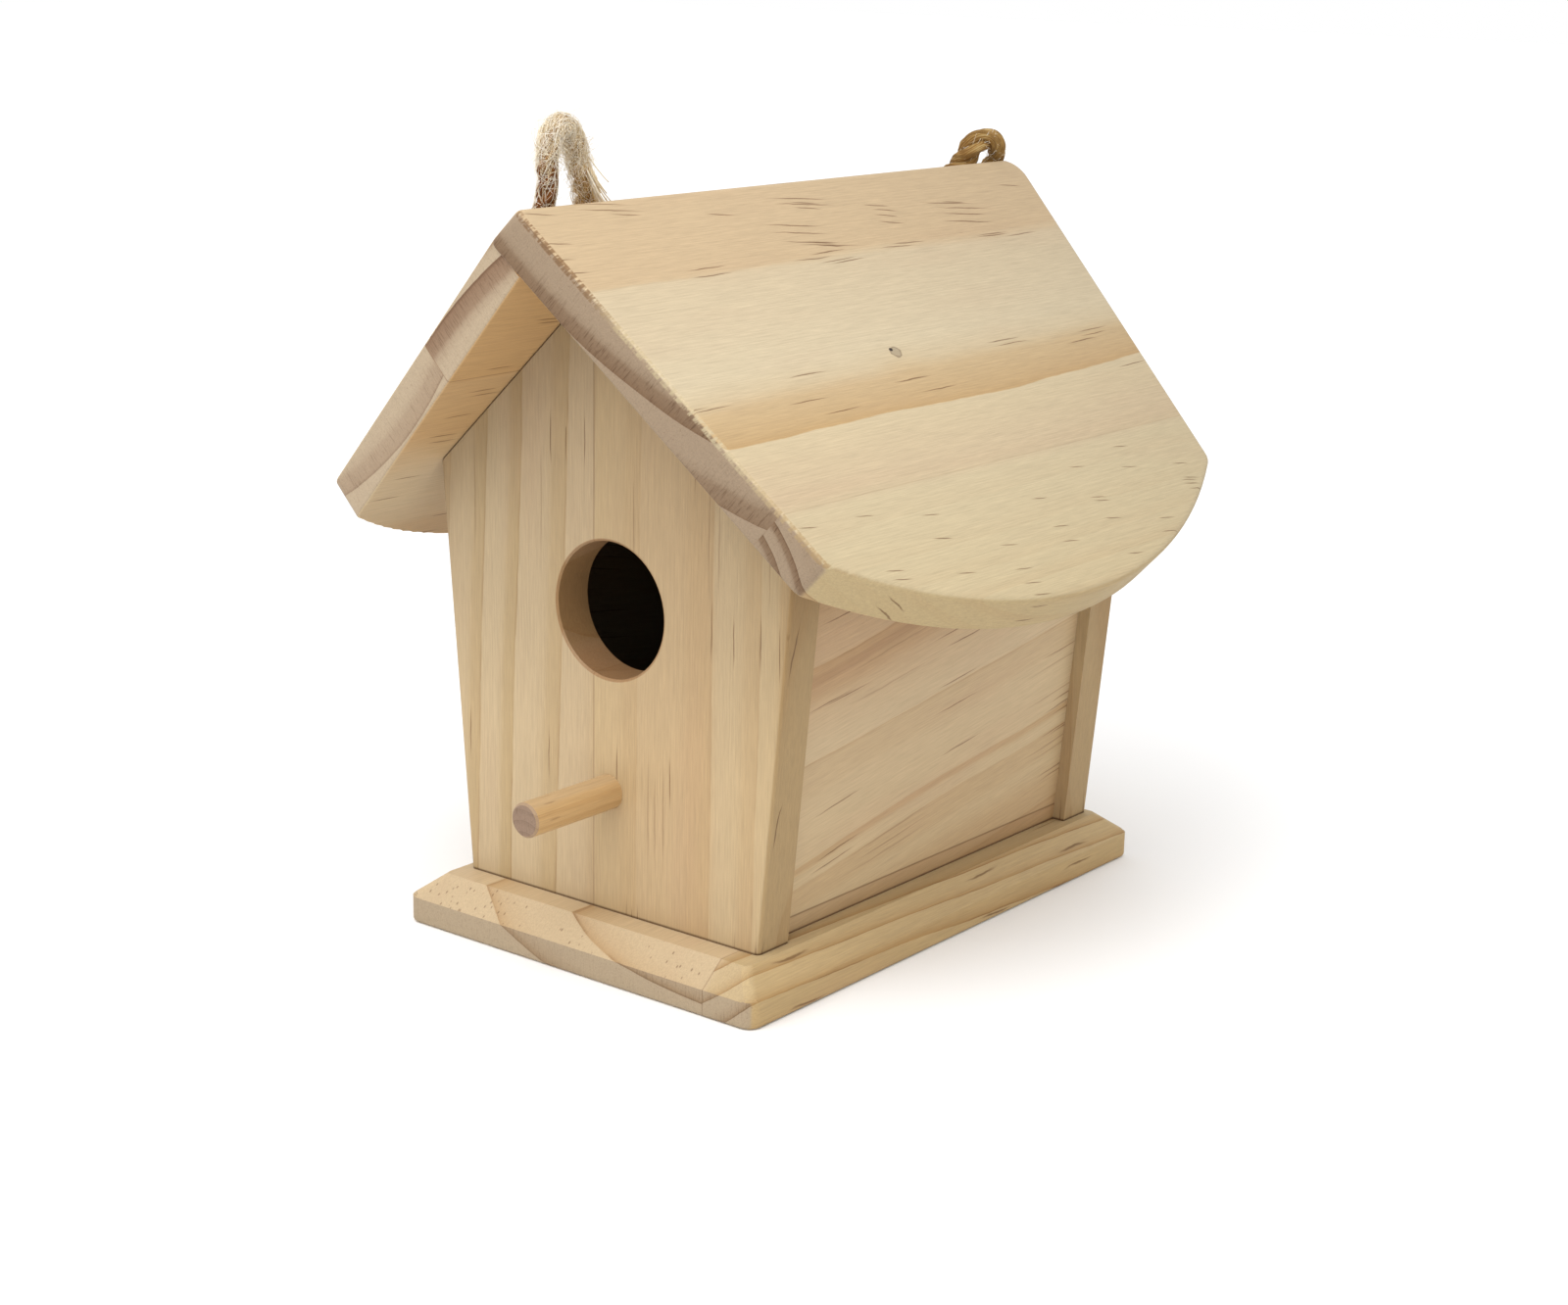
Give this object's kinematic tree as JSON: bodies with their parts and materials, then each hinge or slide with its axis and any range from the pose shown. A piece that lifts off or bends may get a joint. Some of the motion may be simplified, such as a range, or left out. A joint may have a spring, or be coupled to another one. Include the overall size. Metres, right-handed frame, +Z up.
{
  "type": "birdhouse",
  "caption": "Unfinished pine nesting box with a steep gabled roof, curved eaves, a round entrance, a perch, a bevelled base and a jute rope to hang it by",
  "frame": {"origin": "middle of the base's underside, on the surface the birdhouse stands on", "axes": "+X to the right seen from the front, -Y out of the entrance, +Z up"},
  "size_m": [0.2139, 0.2235, 0.2313],
  "materials": {
    "base_pine": "sanded, unfinished pine",
    "front_pine": "sanded, unfinished pine",
    "back_pine": "sanded, unfinished pine",
    "side_pine": "sanded, unfinished pine",
    "roof_left_pine": "sanded, unfinished pine",
    "roof_right_pine": "sanded, unfinished pine",
    "dowel": "smooth turned dowel",
    "screw_steel": "zinc plated",
    "jute": "coarse twisted jute"
  },
  "bodies": {
    "root": {"base_board": "base_pine", "front_wall": "front_pine", "back_wall": "back_pine", "side_panel_left": "side_pine", "side_panel_right": "side_pine", "roof_board_left": "roof_left_pine", "roof_board_right": "roof_right_pine", "perch_dowel": "dowel", "side_dowel_pins": "dowel", "roof_dowel_pins": "dowel", "base_screws": "screw_steel", "hanging_rope": "jute", "rope_knot_front": "jute", "rope_knot_rear": "jute"}
  },
  "joints": []
}
